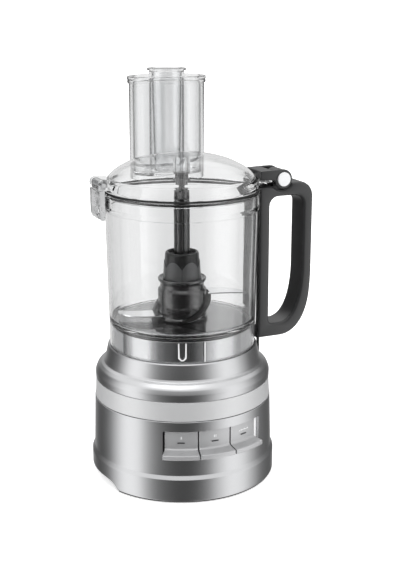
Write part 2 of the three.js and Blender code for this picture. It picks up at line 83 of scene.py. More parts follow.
# ------------------------------------------------------------------ outlines
def rounded(points, steps=4, closed=True):
    """Points are (a, b) or (a, b, corner radius); returns the outline with those corners as arcs."""
    out = []
    count = len(points)
    for i, point in enumerate(points):
        p = Vector(point[:2])
        r = point[2] if len(point) > 2 else 0
        if r <= 0 or (not closed and i in (0, count - 1)):
            out.append(tuple(p))
            continue
        before = Vector(points[i - 1][:2]) - p
        after = Vector(points[(i + 1) % count][:2]) - p
        half = before.angle(after) / 2
        reach = min(r / math.tan(half), before.length * 0.49, after.length * 0.49)
        r = reach * math.tan(half)
        a = p + before.normalized() * reach
        b = p + after.normalized() * reach
        middle = p + (before.normalized() + after.normalized()).normalized() * (r / math.sin(half))
        start, end = a - middle, b - middle
        turn = start.angle_signed(end) if start.length > 1e-9 else 0
        for k in range(steps + 1):
            angle = -turn * k / steps
            c, s = math.cos(angle), math.sin(angle)
            out.append((middle.x + c * start.x - s * start.y, middle.y + s * start.x + c * start.y))
    return out


def arc(x, z, r, start, end, steps=16):
    """Points on a circle, angles in degrees from +X towards +Z."""
    angles = [math.radians(start + (end - start) * i / steps) for i in range(steps + 1)]
    return [(x + r * math.cos(t), z + r * math.sin(t)) for t in angles]


def bezier(p0, p1, p2, p3, steps=14):
    """Points along a cubic curve, without its first point."""
    out = []
    for i in range(1, steps + 1):
        t = i / steps
        w = ((1 - t) ** 3, 3 * t * (1 - t) ** 2, 3 * t * t * (1 - t), t ** 3)
        out.append(tuple(sum(wk * p[j] for wk, p in zip(w, (p0, p1, p2, p3))) for j in (0, 1)))
    return out


def resampled(points, count):
    """The closed outline as that many evenly spaced points."""
    loop = [Vector(p) for p in points]
    lengths = [0.0]
    for i, p in enumerate(loop):
        lengths.append(lengths[-1] + (loop[(i + 1) % len(loop)] - p).length)
    out, k = [], 0
    for i in range(count):
        at = lengths[-1] * i / count
        while lengths[k + 1] < at:
            k += 1
        share = (at - lengths[k]) / max(lengths[k + 1] - lengths[k], 1e-9)
        out.append(loop[k].lerp(loop[(k + 1) % len(loop)], share))
    return out


def softened(points, passes):
    """Closed outline with its corners eased by averaging neighbours."""
    for _ in range(passes):
        n = len(points)
        points = [(points[i - 1] + 2 * points[i] + points[(i + 1) % n]) / 4 for i in range(n)]
    return points


# ------------------------------------------------------------------ mesh making
def stitch(bm, a, b, wrap=True):
    """Faces between two rings of vertices; a ring of one vertex is a pole."""
    if len(a) == 1 and len(b) == 1:
        return
    n = max(len(a), len(b))
    for i in range(n if wrap else n - 1):
        j = (i + 1) % n
        corners = [a[i % len(a)], a[j % len(a)], b[j % len(b)], b[i % len(b)]]
        corners = list(dict.fromkeys(corners))
        if len(corners) > 2:
            bm.faces.new(corners)


def closed_mesh(bm):
    """The mesh with doubled points joined and its faces turned outwards."""
    bmesh.ops.remove_doubles(bm, verts=bm.verts, dist=1e-4)
    bmesh.ops.recalc_face_normals(bm, faces=bm.faces)
    return bm


def braced(profile, closed):
    """Outline with points added near both ends of its long stretches, so that these shade flat."""
    points = [Vector(p) for p in profile]
    out = []
    for i, p in enumerate(points):
        out.append(p)
        after = points[(i + 1) % len(points)]
        way = after - p
        if way.length > 4 and (closed or i + 1 < len(points)):
            out += [p + way.normalized() * 0.5, after - way.normalized() * 0.5]
    return out


def lathe(profile, centre=(0, 0), segments=FINE, wall=None):
    """Solid turned round the vertical through centre. wall(angle, r, z) may move a point."""
    bm = bmesh.new()
    rings = []
    for r, z in braced(profile, profile[0][0] > 1e-6 and profile[-1][0] > 1e-6):
        if r < 1e-6:
            rings.append([bm.verts.new((centre[0], centre[1], z))])
            continue
        ring = []
        for i in range(segments):
            angle = 2 * math.pi * i / segments
            rr, zz = wall(angle, r, z) if wall else (r, z)
            x, y = centre[0] + rr * math.sin(angle), centre[1] - rr * math.cos(angle)
            ring.append(bm.verts.new((x, y, zz)))
        rings.append(ring)
    for a, b in zip(rings, rings[1:]):
        stitch(bm, a, b)
    if len(rings[0]) > 1 and len(rings[-1]) > 1:
        stitch(bm, rings[-1], rings[0])
    return closed_mesh(bm)


def loft(loops, closed=False):
    """Solid through a list of (outline, z); the ends are capped, or joined to each other if closed."""
    bm = bmesh.new()
    rings = [[bm.verts.new((p[0], p[1], z)) for p in outline] for outline, z in loops]
    for a, b in zip(rings, rings[1:]):
        stitch(bm, a, b)
    if closed:
        stitch(bm, rings[-1], rings[0])
    else:
        bm.faces.new(rings[0])
        bm.faces.new(rings[-1])
    return closed_mesh(bm)


def plate(outline, y0, y1, edge=0.8, holes=(), steps=3):
    """Side outline in (X, Z) as a solid from y0 to y1, its edges rounded by edge."""
    curve = bpy.data.curves.new("outline", "CURVE")
    curve.dimensions, curve.fill_mode = "2D", "BOTH"
    curve.bevel_depth, curve.bevel_resolution, curve.offset = edge, steps, -edge
    curve.extrude = (y1 - y0) / 2 - edge
    for loop in (outline, *holes):
        spline = curve.splines.new("POLY")
        spline.points.add(len(loop) - 1)
        for point, (x, z) in zip(spline.points, loop):
            point.co = (x, z, 0, 1)
        spline.use_cyclic_u = True
    holder = bpy.data.objects.new("outline", curve)
    bpy.context.scene.collection.objects.link(holder)
    depsgraph = bpy.context.evaluated_depsgraph_get()
    mesh = bpy.data.meshes.new_from_object(holder.evaluated_get(depsgraph))
    bm = bmesh.new()
    bm.from_mesh(mesh)
    bpy.data.objects.remove(holder)
    bpy.data.curves.remove(curve)
    bpy.data.meshes.remove(mesh)
    upright = Matrix.Translation((0, (y0 + y1) / 2, 0)) @ Matrix.Rotation(math.pi / 2, 4, "X")
    bm.transform(upright)
    return closed_mesh(bm)


def block(x0, x1, y0, y1, z0, z1, edge=0.6, steps=3):
    """Box with rounded edges."""
    bm = bmesh.new()
    bmesh.ops.create_cube(bm, size=1)
    bm.transform(Matrix.Translation(((x0 + x1) / 2, (y0 + y1) / 2, (z0 + z1) / 2))
                 @ Matrix.Diagonal((x1 - x0, y1 - y0, z1 - z0, 1)))
    if edge:
        bmesh.ops.bevel(bm, geom=bm.edges[:], offset=edge, segments=steps, profile=0.5, affect="EDGES")
    return closed_mesh(bm)


def cross_rod(profile, x, z, segments=64):
    """Solid turned round a line along Y through (x, z); profile is [(r, y), ...]."""
    bm = lathe(profile, segments=segments)
    bm.transform(Matrix.Translation((x, 0, z)) @ Matrix.Rotation(-math.pi / 2, 4, "X"))
    return closed_mesh(bm)


def swept(sections):
    """Solid through a list of (section, degrees): sections [(r, z), ...] stood round the drive axis,
    at angles counted from the front (-Y)."""
    bm = bmesh.new()
    rings = []
    for section, degrees in sections:
        t = math.radians(degrees)
        rings.append([bm.verts.new((r * math.sin(t), -r * math.cos(t), z)) for r, z in section])
    for a, b in zip(rings, rings[1:]):
        stitch(bm, a, b)
    bm.faces.new(rings[0])
    bm.faces.new(rings[-1])
    return closed_mesh(bm)


def pin_bore(r, x, z, segments):
    """Cutter for a pin's hole along Y."""
    return cross_rod([(0, -20), (r, -20), (r, 20), (0, 20)], x, z, segments)


def sector_solid(profile, a0, a1, steps=10):
    """One profile [(r, z), ...] swept from a0 to a1 degrees."""
    return swept([(profile, a0 + (a1 - a0) * i / steps) for i in range(steps + 1)])


def merged(*parts):
    """Several closed solids as one mesh."""
    whole = bmesh.new()
    for part in parts:
        mesh = bpy.data.meshes.new("part")
        part.to_mesh(mesh)
        whole.from_mesh(mesh)
        bpy.data.meshes.remove(mesh)
    return whole


def combined(body, operation, *others):
    """body with the others joined (UNION) or cut away (DIFFERENCE), one after another."""
    for other in others:
        holders = []
        for bm in (body, other):
            mesh = bpy.data.meshes.new("solid")
            bm.to_mesh(mesh)
            holders.append(bpy.data.objects.new("solid", mesh))
            bpy.context.scene.collection.objects.link(holders[-1])
        modifier = holders[0].modifiers.new("combine", "BOOLEAN")
        modifier.operation, modifier.object, modifier.solver = operation, holders[1], "MANIFOLD"
        depsgraph = bpy.context.evaluated_depsgraph_get()
        result = bpy.data.meshes.new_from_object(holders[0].evaluated_get(depsgraph))
        body = bmesh.new()
        body.from_mesh(result)
        bpy.data.meshes.remove(result)
        for holder in holders:
            mesh = holder.data
            bpy.data.objects.remove(holder)
            bpy.data.meshes.remove(mesh)
    return body


def build(name, bm, body, material, replaces=(), sharp=32, bevel=0.0):
    """Makes the piece, in the row frame, riding on its CAD body; sharp is the shading angle in degrees."""
    mesh = bpy.data.meshes.new(name)
    bm.transform(TO_FRAME)
    bm.to_mesh(mesh)
    bm.free()
    mesh.polygons.foreach_set("use_smooth", [True] * len(mesh.polygons))
    mesh.set_sharp_from_angle(angle=math.radians(sharp))
    piece = bpy.data.objects.new(name, mesh)
    bpy.context.scene.collection.objects.link(piece)
    mesh.materials.append(material)
    if bevel:
        edge = piece.modifiers.new("edge", "BEVEL")
        edge.width, edge.segments, edge.limit_method = bevel * MM, 2, "ANGLE"
        edge.angle_limit, edge.harden_normals = math.radians(sharp), True
    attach(piece, body)
    if replaces:
        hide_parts(*replaces)
    return piece


# ------------------------------------------------------------------ materials
def node(tree, kind, **values):
    """A shader node with its properties and input values set."""
    made = tree.nodes.new(kind)
    for key, value in values.items():
        if key in made.inputs:
            made.inputs[key].default_value = value
        else:
            setattr(made, key, value)
    return made


def noise(tree, scale, detail=3.0, stretch=(1, 1, 1)):
    """Noise over the piece's own coordinates, in metres, as a socket."""
    where = node(tree, "ShaderNodeTexCoord").outputs["Object"]
    if stretch != (1, 1, 1):
        mapping = node(tree, "ShaderNodeMapping")
        mapping.inputs["Scale"].default_value = stretch
        tree.links.new(where, mapping.inputs["Vector"])
        where = mapping.outputs["Vector"]
    texture = node(tree, "ShaderNodeTexNoise", Scale=scale, Detail=detail)
    tree.links.new(where, texture.inputs["Vector"])
    return texture.outputs["Fac"]


def ranged(tree, source, low, high, start=0.3, end=0.7):
    """Source remapped from start..end to low..high."""
    remap = node(tree, "ShaderNodeMapRange")
    for socket, value in zip(("From Min", "From Max", "To Min", "To Max"), (start, end, low, high)):
        remap.inputs[socket].default_value = value
    tree.links.new(source, remap.inputs["Value"])
    return remap.outputs["Result"]


def finish(name, color, rough, metal=0.0, grain=1500.0, tone=0.05, spread=0.04, bump=0.0,
           cloud=14.0, stretch=(1, 1, 1), **sockets):
    """Opaque finish: fine grain and slow clouding in its colour, roughness and surface."""
    mat = bpy.data.materials.new(name)
    mat.use_nodes = True
    tree = mat.node_tree
    shader = tree.nodes["Principled BSDF"]
    shader.inputs["Metallic"].default_value = metal
    for key, value in sockets.items():
        shader.inputs[key.replace("_", " ")].default_value = value
    fine = noise(tree, grain, 2.0, stretch)
    slow = noise(tree, cloud, 2.0)
    shade = node(tree, "ShaderNodeMath", operation="MULTIPLY")
    tree.links.new(ranged(tree, fine, 1 - tone, 1 + tone), shade.inputs[0])
    tree.links.new(ranged(tree, slow, 1 - tone * 0.4, 1 + tone * 0.4, 0.1, 0.9), shade.inputs[1])
    tint = node(tree, "ShaderNodeVectorMath", operation="SCALE")
    tint.inputs[0].default_value = color
    tree.links.new(shade.outputs[0], tint.inputs["Scale"])
    tree.links.new(tint.outputs[0], shader.inputs["Base Color"])
    tree.links.new(ranged(tree, slow, rough - spread, rough + spread, 0.1, 0.9), shader.inputs["Roughness"])
    if bump:
        relief = node(tree, "ShaderNodeBump", Strength=bump, Distance=0.0001)
        tree.links.new(fine, relief.inputs["Height"])
        tree.links.new(relief.outputs["Normal"], shader.inputs["Normal"])
    return mat


def clear_finish(name, color, rough, wave=0.0, haze=0.0, ior=1.46):
    """Clear moulded plastic: slow moulding waves and faint wear in its gloss."""
    mat = bpy.data.materials.new(name)
    mat.use_nodes = True
    tree = mat.node_tree
    shader = tree.nodes["Principled BSDF"]
    shader.inputs["Transmission Weight"].default_value = 1.0
    shader.inputs["IOR"].default_value = ior
    slow = noise(tree, 22.0, 1.0)
    tint = node(tree, "ShaderNodeVectorMath", operation="SCALE")
    tint.inputs[0].default_value = color
    tree.links.new(ranged(tree, slow, 0.99, 1.0), tint.inputs["Scale"])
    tree.links.new(tint.outputs[0], shader.inputs["Base Color"])
    tree.links.new(ranged(tree, slow, rough, rough + haze), shader.inputs["Roughness"])
    if wave:
        relief = node(tree, "ShaderNodeBump", Strength=wave, Distance=0.001)
        tree.links.new(slow, relief.inputs["Height"])
        tree.links.new(relief.outputs["Normal"], shader.inputs["Normal"])
    return mat


SILVER = finish("silver_paint", (0.47, 0.473, 0.48), 0.30, 1.0, 5200.0, 0.10, 0.03, 0.06)
COLLAR = finish("collar_metal", (0.46, 0.462, 0.468), 0.13, 1.0, 5200.0, 0.05, 0.02, 0.03)
BAND = finish("band_grey", (0.50, 0.503, 0.508), 0.38, 0.35, 5200.0, 0.06, 0.03, 0.05)
BUTTON = finish("button_grey", (0.40, 0.402, 0.408), 0.36, 0.45, 5200.0, 0.06, 0.03, 0.05)
DARK = finish("dark_plastic", (0.014, 0.0143, 0.015), 0.34, 0.0, 3400.0, 0.14, 0.05, 0.22, IOR=1.55)
CONE = finish("cone_plastic", (0.010, 0.0102, 0.0106), 0.30, 0.0, 3400.0, 0.10, 0.05, 0.08, IOR=1.5)
PETAL = finish("petal_plastic", (0.095, 0.096, 0.098), 0.36, 0.0, 3400.0, 0.10, 0.05, 0.08, IOR=1.6)
STEM = finish("stem_plastic", (0.016, 0.0163, 0.017), 0.28, 0.0, 3400.0, 0.10, 0.05, 0.05, IOR=1.8)
HUB = finish("hub_black", (0.003, 0.003, 0.0031), 0.08, 0.0, 2400.0, 0.12, 0.03, 0.0, IOR=1.9)
PLATE = finish("plate_metal", (0.17, 0.171, 0.174), 0.22, 1.0, 4200.0, 0.08, 0.04, 0.03)
BLACK = finish("black_plastic", (0.006, 0.006, 0.0063), 0.2, 0.0, 2400.0, 0.12, 0.04, 0.04)
RUBBER = finish("rubber", (0.004, 0.004, 0.004), 0.6, 0.0, 3200.0, 0.2, 0.08, 0.3)
STEEL = finish("steel", (0.60, 0.605, 0.61), 0.2, 1.0, 1600.0, 0.08, 0.05, 0.05, stretch=(1, 1, 8))
BLADE = finish("blade_steel", (0.82, 0.825, 0.83), 0.12, 1.0, 1400.0, 0.08, 0.05, 0.1, stretch=(9, 1, 1))
CAP = finish("pin_cap_metal", (0.74, 0.745, 0.75), 0.34, 0.6, 3000.0, 0.05, 0.04, 0.05)
COPPER = finish("copper", (0.45, 0.18, 0.08), 0.35, 0.9, 900.0, 0.15, 0.06, 0.3, stretch=(1, 1, 6))
BOARD = finish("board", (0.02, 0.12, 0.05), 0.5, 0.0, 500.0, 0.3, 0.06, 0.2)
MARK = finish("mark_dark", (0.03, 0.03, 0.032), 0.5, 0.0, 3000.0, 0.1, 0.04)
GLYPH = finish("glyph_pale", (0.72, 0.725, 0.73), 0.5, 0.0, 3000.0, 0.05, 0.04)
CLEAR = clear_finish("clear_plastic", (0.955, 0.958, 0.96), 0.0, 0.0, 0.004)
TUBE_CLEAR = clear_finish("tube_plastic", (0.98, 0.982, 0.984), 0.0, 0.01, 0.004)
LID_CLEAR = clear_finish("lid_plastic", (0.965, 0.968, 0.97), 0.0, 0.0, 0.0, 1.36)
LATCH_CLEAR = clear_finish("latch_plastic", (0.66, 0.665, 0.67), 0.0, 0.03, 0.01, 1.52)
# pale opaque lugs: a painted glint for the light that catches the clear lugs on the bowl's skirt
LUG_GLINT = finish("lug_painted_glint", (0.66, 0.665, 0.67), 0.25, 0.0, 3000.0, 0.05, 0.04)
# pale strip for the window's right side wall: partly its light painted return, partly a painted highlight for
# the light on that wall in the shaded recess
PALE_RETURN_HIGHLIGHT = finish("pale_return_and_highlight", (0.86, 0.863, 0.868), 0.4, 0.0, 3000.0, 0.05, 0.04)

# the CAD nodes that stay in sight inside or under the machine
KEPT = {
    BLACK: ["bottom_plate", "interlock_switch", "interlock_rod"],
    STEEL: ["motor_can", "motor_pulley", "drive_spindle", "spindle_coupling", "lower_bearing",
            "upper_bearing", "hinge_pin", "latch_pin", "rod_spring"]
           + [f"base_screw_{i}" for i in (1, 2, 3, 4)] + [f"button_spring_{i}" for i in (1, 2, 3)],
    COPPER: ["motor_rotor"],
    BOARD: ["control_board"],
    RUBBER: ["drive_belt", "shaft_seal"],
    DARK: ["spindle_pulley"],
}


def finish_kept_nodes():
    """Gives the CAD nodes that stay in view their materials."""
    for material, names in KEPT.items():
        for name in names:
            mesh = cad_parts[name].data
            mesh.materials.clear()
            mesh.materials.append(material)


# ------------------------------------------------------------------ studio
# Brightness of the studio all round, as (direction in degrees from +X towards +Y, brightness):
# bright at -X and again from -66 to -30, right of the camera; a grey backdrop from 52 to 90; dark
# in between. Chosen so that the reflections suit the photograph, from its viewing angle.
STUDIO = [(-180, 1.9), (-170, 1.8), (-159, 0.8), (-149, 0.36), (-137, 0.2), (-118, 0.1), (-97, 0.1),
          (-82, 0.32), (-66, 1.2), (-50, 1.8), (-30, 1.6), (-14, 0.8), (4, 0.2), (38, 0.13), (52, 0.55),
          (90, 0.55), (101, 0.2), (116, 0.09), (140, 0.2), (154, 0.95), (167, 1.85)]
BRIGHTEST = 2.0
TOP_LIGHT = 1.5
CAMERA_WHITE = 1.05
CLEAR_LIGHT, CLEAR_SHARE = 0.95, 0.85


def make_world():
    """White where the camera looks, and the studio round the object for everything else."""
    world = bpy.data.worlds.new("studio")
    bpy.context.scene.world = world
    world.use_nodes = True
    tree = world.node_tree
    tree.nodes.clear()
    where = node(tree, "ShaderNodeTexCoord").outputs["Generated"]
    parts = node(tree, "ShaderNodeSeparateXYZ")
    tree.links.new(where, parts.inputs[0])
    turn = node(tree, "ShaderNodeMath", operation="ARCTAN2")
    tree.links.new(parts.outputs["Y"], turn.inputs[0])
    tree.links.new(parts.outputs["X"], turn.inputs[1])
    around = ranged(tree, turn.outputs[0], 0, 1, -math.pi, math.pi)
    ramp = node(tree, "ShaderNodeValToRGB")
    ramp.color_ramp.interpolation = "EASE"
    stops = ramp.color_ramp.elements
    while len(stops) < len(STUDIO):
        stops.new(0.5)
    for stop, (degrees, bright) in zip(stops, STUDIO):
        stop.position = (degrees + 180) / 360
        stop.color = (bright / BRIGHTEST,) * 3 + (1,)
    tree.links.new(around, ramp.inputs[0])
    sides = node(tree, "ShaderNodeMath", operation="MULTIPLY")
    tree.links.new(ramp.outputs[0], sides.inputs[0])
    sides.inputs[1].default_value = BRIGHTEST
    above = ranged(tree, parts.outputs["Z"], 0, 1, 0.36, 0.62)
    mixed = node(tree, "ShaderNodeMix", data_type="FLOAT")
    tree.links.new(above, mixed.inputs[0])
    tree.links.new(sides.outputs[0], mixed.inputs[2])
    mixed.inputs[3].default_value = TOP_LIGHT
    path = node(tree, "ShaderNodeLightPath")

    def math_of(operation, a, b):
        """Math node over two sockets or numbers."""
        made = node(tree, "ShaderNodeMath", operation=operation)
        for socket, value in zip(made.inputs, (a, b)):
            if isinstance(value, (int, float)):
                socket.default_value = value
            else:
                tree.links.new(value, socket)
        return made.outputs[0]

    # Behind clear walls the studio looks paler to rays that were never reflected, and to others that
    # crossed at most five surfaces and still head on along CAMERA_TURN. It is for looks, not optics.
    depth = path.outputs["Transmission Depth"]
    unreflected = math_of("LESS_THAN", path.outputs["Glossy Depth"], 0.5)
    ahead = node(tree, "ShaderNodeVectorMath", operation="DOT_PRODUCT")
    ahead.inputs[1].default_value = (math.sin(CAMERA_TURN), math.cos(CAMERA_TURN), 0)
    tree.links.new(where, ahead.inputs[0])
    onward = math_of("GREATER_THAN", ahead.outputs["Value"], 0.3)
    near = math_of("MULTIPLY", math_of("LESS_THAN", depth, 5.5), onward)
    share = math_of("MULTIPLY", math_of("GREATER_THAN", depth, 0.5), math_of("MAXIMUM", unreflected, near))
    pale = node(tree, "ShaderNodeMix", data_type="FLOAT")
    tree.links.new(math_of("MULTIPLY", share, CLEAR_SHARE), pale.inputs[0])
    tree.links.new(mixed.outputs[0], pale.inputs[2])
    pale.inputs[3].default_value = CLEAR_LIGHT
    white = node(tree, "ShaderNodeMix", data_type="FLOAT")
    tree.links.new(path.outputs["Is Camera Ray"], white.inputs[0])
    tree.links.new(pale.outputs[0], white.inputs[2])
    white.inputs[3].default_value = CAMERA_WHITE
    background = node(tree, "ShaderNodeBackground")
    tree.links.new(white.outputs[0], background.inputs["Color"])
    out = node(tree, "ShaderNodeOutputWorld")
    tree.links.new(background.outputs[0], out.inputs["Surface"])


def make_floor():
    """Pale, slightly glowing table top. Mirrors and clear walls look past it, at the studio."""
    mesh = bpy.data.meshes.new("floor")
    reach = 60.0
    mesh.from_pydata([(-reach, -reach, 0), (reach, -reach, 0), (reach, reach, 0), (-reach, reach, 0)],
                     [], [(0, 1, 2, 3)])
    floor = bpy.data.objects.new("floor", mesh)
    bpy.context.scene.collection.objects.link(floor)
    mat = bpy.data.materials.new("floor_white")
    mat.use_nodes = True
    tree = mat.node_tree
    shader = tree.nodes["Principled BSDF"]
    shader.inputs["Base Color"].default_value = (0.85, 0.85, 0.85, 1)
    shader.inputs["Roughness"].default_value = 0.9
    shader.inputs["Specular IOR Level"].default_value = 0.0
    shader.inputs["Emission Color"].default_value = (1, 1, 1, 1)
    shader.inputs["Emission Strength"].default_value = 0.6
    mesh.materials.append(mat)
    floor.visible_glossy = False
    floor.visible_transmission = False


def soft_box(name, at, aim, size, power):
    """Area light at a point, in metres, aimed at another."""
    data = bpy.data.lights.new(name, "AREA")
    data.shape, data.size, data.size_y, data.energy = "RECTANGLE", size[0], size[1], power
    lamp = bpy.data.objects.new(name, data)
    bpy.context.scene.collection.objects.link(lamp)
    lamp.location = at
    lamp.rotation_euler = (Vector(aim) - Vector(at)).to_track_quat("-Z", "Y").to_euler()
    lamp.visible_camera = False
    lamp.visible_transmission = False


def make_studio():
    scene = bpy.context.scene
    scene.view_settings.view_transform = "Standard"
    scene.cycles.max_bounces = 32
    scene.cycles.transmission_bounces = 32
    scene.cycles.glossy_bounces = 8
    make_world()
    make_floor()
    soft_box("key_top", (-0.3, -0.2, 1.7), (0, 0, 0.15), (1.2, 1.2), 5)


# ------------------------------------------------------------------ motor base
R_BODY_LOW, R_BODY_TOP = 92.9, 91.6
Z_BASE_TOP = span("base_housing")[1].z
BAND_LOW, BAND_HIGH = span("trim_band")[0].z, span("trim_band")[1].z
R_FOOT_EDGE, Z_FOOT_EDGE = 95.6, 2.5
Z_INLET = 26
ARCH_TOP, ARCH_HALF = 8.7, 39.5
WINDOW_TURN, WINDOW_HALF, WINDOW_LOW, WINDOW_HIGH = 0.45, 34.85, 46.3, 75.0


def arch_lift(angle):
    """How far the lower edge rises here, over the finger arches at the two sides."""
    off = min(abs(angle - math.pi / 2), abs(angle - 3 * math.pi / 2), math.pi / 2)
    along = R_FOOT_EDGE * math.sin(off) / ARCH_HALF
    return ARCH_TOP * max(0.0, 1 - along ** 6)


def arched(angle, r, z):
    """Raises points low on the base to the edge of the arches."""
    return r, max(z, Z_FOOT_EDGE + arch_lift(angle)) if z < 20 else z


def base_shell():
    """Motor housing, open at the button window and at the cord inlet."""
    inner = [(88.5, 84.7), (88.5, 83.6), (86, 82.6), (86, 40), (92.3, 26)]
    profile = rounded([
        (92.6, Z_FOOT_EDGE), (R_FOOT_EDGE, Z_FOOT_EDGE, 0.9), (95.6, 25.2, 0.9), (93.1, 29.2, 1.6),
        (R_BODY_LOW, 38), (R_BODY_TOP, 84.7, 0.6), *inner,
    ], 5)
    ladder = [(R_FOOT_EDGE, z) for z in (5, 8, 11, 14, 17, 20)]
    at = next(i for i, p in enumerate(profile) if p[1] > 20)
    profile[at:at] = ladder
    shell = lathe(profile, segments=288, wall=arched)
    shell = combined(shell, "DIFFERENCE", window_cutter())
    inlet = cross_rod([(0, 80), (6.2, 80), (6.2, 110), (0, 110)], 0, Z_INLET, 48)
    return combined(shell, "DIFFERENCE", inlet)


def base_gap_shadow_rim():
    """Black ring under the base edge, following the arches: painted contact shadow in the gap, where the dark
    bottom plate also shows.
    """
    profile = rounded([(90, 1.1), (94.3, 1.1, 0.4), (94.9, 2.45), (90, 2.45)], 3)
    return lathe(profile, segments=288, wall=lambda angle, r, z: (r, z + arch_lift(angle)))


def window_cutter():
    """Block through the front wall, with rounded corners, that opens the button window."""
    corner, steps = 1.6, 36
    corner_angle = math.degrees(corner / R_BODY_LOW)
    sections = []
    left = [-WINDOW_HALF + corner_angle * (1 - math.cos(math.pi / 2 * k / 5)) for k in range(6)]
    middle = [-WINDOW_HALF * (1 - 2 * k / steps) for k in range(2, steps - 1)]
    for degrees in left + middle + [-a for a in reversed(left)]:
        into = max(0.0, 1 - (WINDOW_HALF - abs(degrees)) / corner_angle)
        drop = corner * (1 - math.sqrt(max(0.0, 1 - into * into)))
        low, high = WINDOW_LOW + drop, WINDOW_HIGH - drop
        sections.append(([(82, low), (110, low), (110, high), (82, high)], degrees + WINDOW_TURN))
    return swept(sections)


def window_liner():
    """Black pocket behind the buttons."""
    return sector_solid([(72.8, 45.2), (85.8, 45.2), (85.8, 46.1), (73.8, 46.1), (73.8, 75.2), (85.8, 75.2),
                         (85.8, 76.2), (72.8, 76.2)], -36.5, 37.5, 24)


def top_cover():
    """Sloped cover with the neck that the bowl stands on, and the slot for the interlock."""
    profile = rounded([
        (85.6, 95), (88.4, 95), (88.4, 104.9), (90.4, 104.9, 0.5), (90.5, 111.5, 5), (88.2, 117.2, 7),
        (84.4, 120.4, 3), (81.4, 121.9, 1.6), (80.3, 124.0, 1.2), (78.6, 132, 3), (77.2, 138.2, 0.7),
        (76.5, 139.3, 0.3), (71.5, 139.3), (71.2, 160.2, 1.0), (70, 161.2), (66, 161.2), (66, 157.6),
        (68, 157.6),
        (68, 136.4), (74.4, 136.2), (78, 119), (85.6, 112),
    ], 5)
    cover = lathe(profile, segments=ROUND)
    return combined(cover, "DIFFERENCE", block(77.2, 92, -4.6, 4.6, 112.6, 146, 0.5))


def make_base():
    build("base_shell", base_shell(), "root", SILVER, ["base_housing"], 30)
    low, high = BAND_LOW, BAND_HIGH
    band = lathe(rounded([(88.8, low), (91.0, low, 0.5), (90.2, high, 0.5), (88.8, high)], 3), segments=ROUND)
    build("band_ring", band, "root", BAND, ["trim_band"], 30)
    build("top_shell", top_cover(), "root", SILVER, ["top_cover"], 34)
    sleeve = rounded([(71.6, 139.6), (72.0, 139.6), (71.9, 160.4, 0.5), (70.6, 161.6, 0.3),
                      (70.6, 161.3), (71.5, 160.2)], 3)
    build("collar_sleeve", lathe(sleeve, segments=ROUND), "root", COLLAR, (), 34)
    # black ring filling the gap under the base edge: painted contact shadow, partly the dark bottom plate
    # seen there
    build("base_gap_shadow_rim", base_gap_shadow_rim(), "root", RUBBER, ())
    disc = rounded([(11.6, 157.8), (65.8, 157.8), (65.8, 161.4, 0.5), (11.6, 161.4, 0.5)], 2)
    build("top_plate", lathe(disc, segments=128), "root", PLATE, (), 34)
    # pale strip on the window's right wall: light paint plus a painted highlight for the light falling on
    # that wall
    trim = sector_solid([(84, 47), (89.0, 47), (89.0, 74.6), (84, 74.6)], 32.3, 35.1, 3)
    build("window_return_highlight", trim, "root", PALE_RETURN_HIGHLIGHT, ())
    build("button_pocket", window_liner(), "root", BLACK, ())
    for i in range(1, 5):
        lo, hi = span(f"foot_{i}")
        centre = ((lo.x + hi.x) / 2, (lo.y + hi.y) / 2)
        r = (hi.x - lo.x) / 2
        foot = lathe(rounded([(0, 0), (r - 1.2, 0, 0.6), (r, 1.6, 0.6), (r, hi.z, 0.3), (0, hi.z)], 3, False),
                     centre, 48)
        build(f"foot_pad_{i}", foot, "root", RUBBER, [f"foot_{i}"])
    gland = rounded([(3.4, 90), (6, 90), (6, 97.1), (8.6, 97.1, 0.6), (9, 99.3, 0.8), (5, 99.6, 0.5),
                     (3.4, 98.6)], 3)
    build("cord_gland", cross_rod(gland, 0, Z_INLET, 48), "root", BLACK, ["cord_inlet"])


# ------------------------------------------------------------------ push buttons
BUTTON_FACE, BUTTON_LEDGE = 89.5, 100.5
BUTTON_TURN, BUTTON_PITCH, BUTTON_GAP = -1.15, 21.85, 0.42
FACE_TOP, FACE_END, LEDGE_TOP, LEDGE_LOW = 74.6, 57.6, 53.2, 48.2


def button_profile():
    """Side section of a piano-key button: flat face, sweep, thumb ledge with a soft lip."""
    sweep = bezier((BUTTON_FACE, FACE_END), (BUTTON_FACE + 0.2, 54.4), (BUTTON_FACE + 3.6, 54.6),
                   (BUTTON_LEDGE - 1.4, LEDGE_TOP), 10)
    lip = rounded([sweep[-1], (BUTTON_LEDGE, LEDGE_TOP - 0.4, 0.7), (BUTTON_LEDGE, LEDGE_LOW, 0.9),
                   (BUTTON_FACE - 12, LEDGE_LOW)], 3, False)
    return [(BUTTON_FACE - 12, FACE_TOP), (BUTTON_FACE - 0.5, FACE_TOP), (BUTTON_FACE, FACE_TOP - 0.5),
            (BUTTON_FACE, FACE_END)] + sweep[:-1] + lip


def tick(angle, z, half_angle, height):
    """Small mark printed on a button's face."""
    r = BUTTON_FACE
    return sector_solid([(r + 0.02, z), (r + 0.18, z), (r + 0.18, z + height), (r + 0.02, z + height)],
                        angle - half_angle, angle + half_angle, 3)


